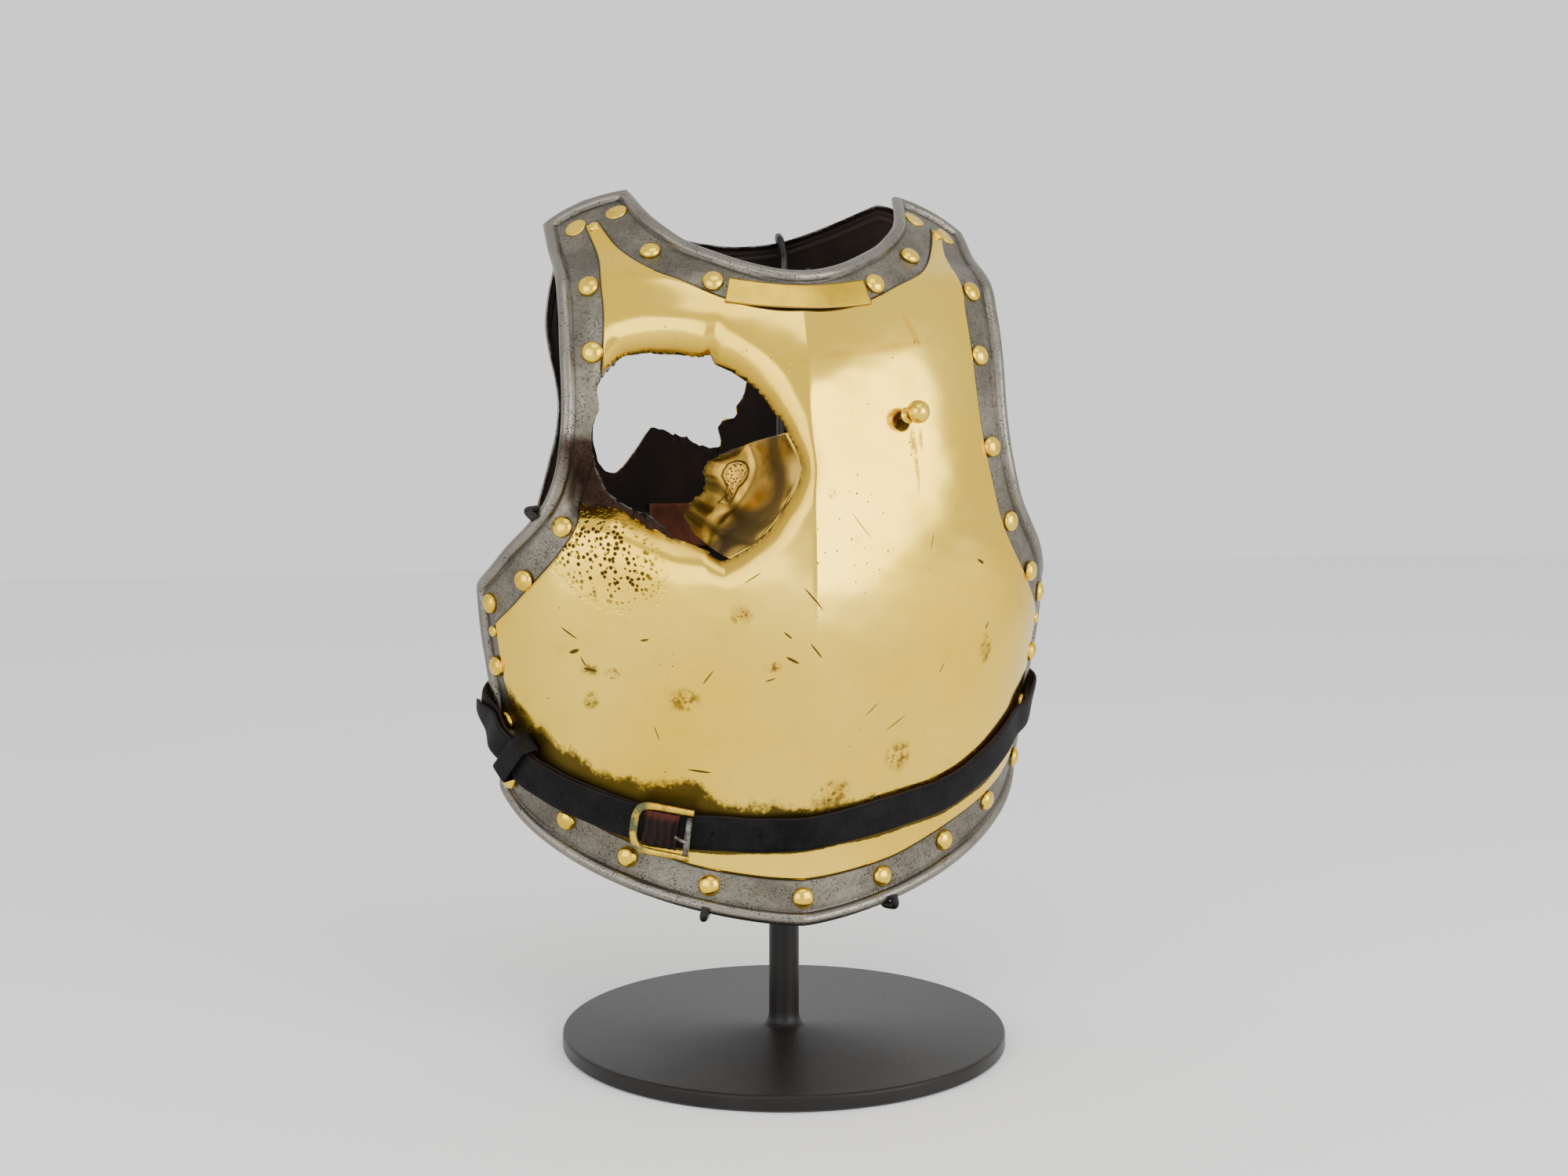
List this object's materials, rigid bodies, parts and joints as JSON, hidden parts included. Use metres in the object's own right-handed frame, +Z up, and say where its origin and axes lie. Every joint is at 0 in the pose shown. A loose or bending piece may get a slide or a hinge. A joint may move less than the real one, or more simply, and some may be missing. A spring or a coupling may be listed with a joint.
{
  "type": "cuirass on a display stand",
  "caption": "Steel breastplate and backplate faced with brass, joined by a buckled leather waist belt and held up by a plain post with a round foot.",
  "frame": {"origin": "centre of the stand's foot, on its underside, where it rests", "axes": "+Z up along the post, -Y towards the front of the breastplate, +X towards the wearer's left"},
  "size_m": [0.3744, 0.3051, 0.5394],
  "materials": {
    "steel": "dull, pitted",
    "brass": "polished, scratched, tarnished in places",
    "rivet_brass": "polished",
    "old_brass": "tarnished, torn",
    "plaque": "dull",
    "buckle_brass": "worn, with verdigris",
    "buckle_steel": "worn",
    "leather": "dark, worn",
    "worn_leather": "wrinkled, worn",
    "tag": "matt",
    "stand": "dark satin"
  },
  "bodies": {
    "root": {"backplate_brass": "brass", "backplate_steel": "steel", "belt_buckle": "buckle_brass", "belt_keeper": "leather", "belt_long": "leather", "belt_rivet_left": "rivet_brass", "belt_rivet_right": "rivet_brass", "belt_short": "leather", "brass_flap": "old_brass", "breastplate_brass": "brass", "breastplate_steel": "steel", "buckle_bar": "buckle_steel", "buckle_leather": "worn_leather", "buckle_tongue": "buckle_steel", "chest_stud": "rivet_brass", "label_tag": "tag", "plaque": "plaque", "rivet_arm_left_14": "rivet_brass", "rivet_arm_left_27": "rivet_brass", "rivet_arm_left_41": "rivet_brass", "rivet_arm_left_59": "rivet_brass", "rivet_arm_left_73": "rivet_brass", "rivet_arm_right_14": "rivet_brass", "rivet_arm_right_27": "rivet_brass", "rivet_arm_right_59": "rivet_brass", "rivet_arm_right_73": "rivet_brass", "rivet_bottom_left_13": "rivet_brass", "rivet_bottom_left_24": "rivet_brass", "rivet_bottom_left_36": "rivet_brass", "rivet_bottom_middle_50": "rivet_brass", "rivet_bottom_right_13": "rivet_brass", "rivet_bottom_right_24": "rivet_brass", "rivet_bottom_right_36": "rivet_brass", "rivet_neck_left_21": "rivet_brass", "rivet_neck_left_36": "rivet_brass", "rivet_neck_right_21": "rivet_brass", "rivet_neck_right_36": "rivet_brass", "rivet_side_left_09": "rivet_brass", "rivet_side_left_35": "rivet_brass", "rivet_side_left_61": "rivet_brass", "rivet_side_left_78": "rivet_brass", "rivet_side_left_91": "rivet_brass", "rivet_side_right_09": "rivet_brass", "rivet_side_right_35": "rivet_brass", "rivet_side_right_61": "rivet_brass", "rivet_side_right_78": "rivet_brass", "rivet_side_right_91": "rivet_brass", "rivet_top_left_34": "rivet_brass", "rivet_top_left_58": "rivet_brass", "rivet_top_left_88": "rivet_brass", "rivet_top_right_34": "rivet_brass", "rivet_top_right_58": "rivet_brass", "rivet_top_right_88": "rivet_brass", "stand": "stand"}
  },
  "joints": []
}
